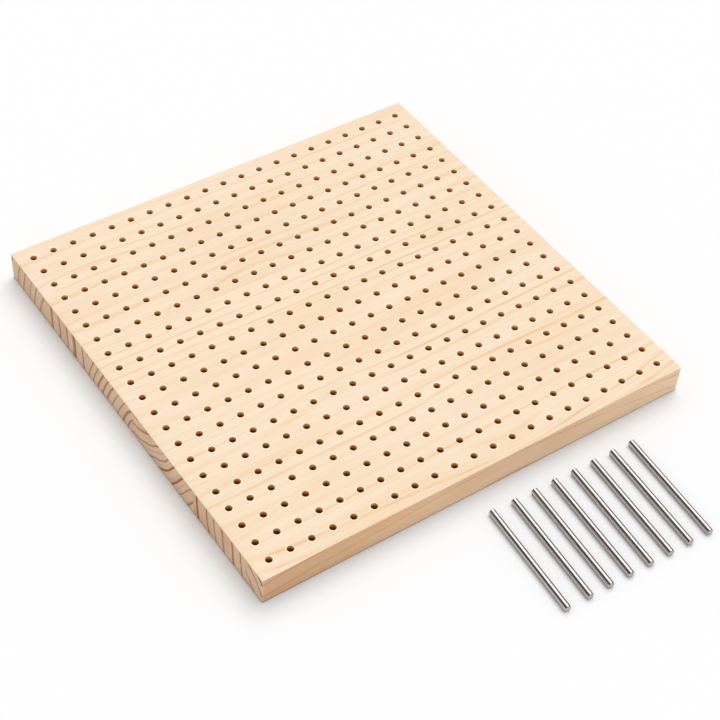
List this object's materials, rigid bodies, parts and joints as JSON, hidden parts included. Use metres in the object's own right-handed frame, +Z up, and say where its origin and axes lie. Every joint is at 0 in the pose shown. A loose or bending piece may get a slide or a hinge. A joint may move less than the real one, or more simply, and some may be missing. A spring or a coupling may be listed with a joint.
{
  "type": "blocking board",
  "caption": "Square edge-glued pine board drilled with a regular grid of blind holes, with loose steel pins for stretching knitted or crocheted squares.",
  "frame": {"origin": "centre of the panel's underside, which rests on the table", "axes": "+Z up out of the drilled face, +X along the grain of the staves, -Y towards the front edge, where the pins lie"},
  "size_m": [0.2736, 0.3611, 0.018],
  "materials": {
    "pine": "matte",
    "stainless_steel": "polished"
  },
  "bodies": {
    "board": {"stave_1": "pine", "stave_2": "pine", "stave_3": "pine", "stave_4": "pine", "stave_5": "pine", "stave_6": "pine"},
    "pin_1": {"pin_1": "stainless_steel"},
    "pin_2": {"pin_2": "stainless_steel"},
    "pin_3": {"pin_3": "stainless_steel"},
    "pin_4": {"pin_4": "stainless_steel"},
    "pin_5": {"pin_5": "stainless_steel"},
    "pin_6": {"pin_6": "stainless_steel"},
    "pin_7": {"pin_7": "stainless_steel"},
    "pin_8": {"pin_8": "stainless_steel"}
  },
  "joints": [
    {"name": "pin_1_lift", "type": "slide", "parent": "board", "child": "pin_1", "axis": [0, 0, 1], "range_m": [0, 0.09]},
    {"name": "pin_2_lift", "type": "slide", "parent": "board", "child": "pin_2", "axis": [0, 0, 1], "range_m": [0, 0.09]},
    {"name": "pin_3_lift", "type": "slide", "parent": "board", "child": "pin_3", "axis": [0, 0, 1], "range_m": [0, 0.09]},
    {"name": "pin_4_lift", "type": "slide", "parent": "board", "child": "pin_4", "axis": [0, 0, 1], "range_m": [0, 0.09]},
    {"name": "pin_5_lift", "type": "slide", "parent": "board", "child": "pin_5", "axis": [0, 0, 1], "range_m": [0, 0.09]},
    {"name": "pin_6_lift", "type": "slide", "parent": "board", "child": "pin_6", "axis": [0, 0, 1], "range_m": [0, 0.09]},
    {"name": "pin_7_lift", "type": "slide", "parent": "board", "child": "pin_7", "axis": [0, 0, 1], "range_m": [0, 0.09]},
    {"name": "pin_8_lift", "type": "slide", "parent": "board", "child": "pin_8", "axis": [0, 0, 1], "range_m": [0, 0.09]}
  ]
}
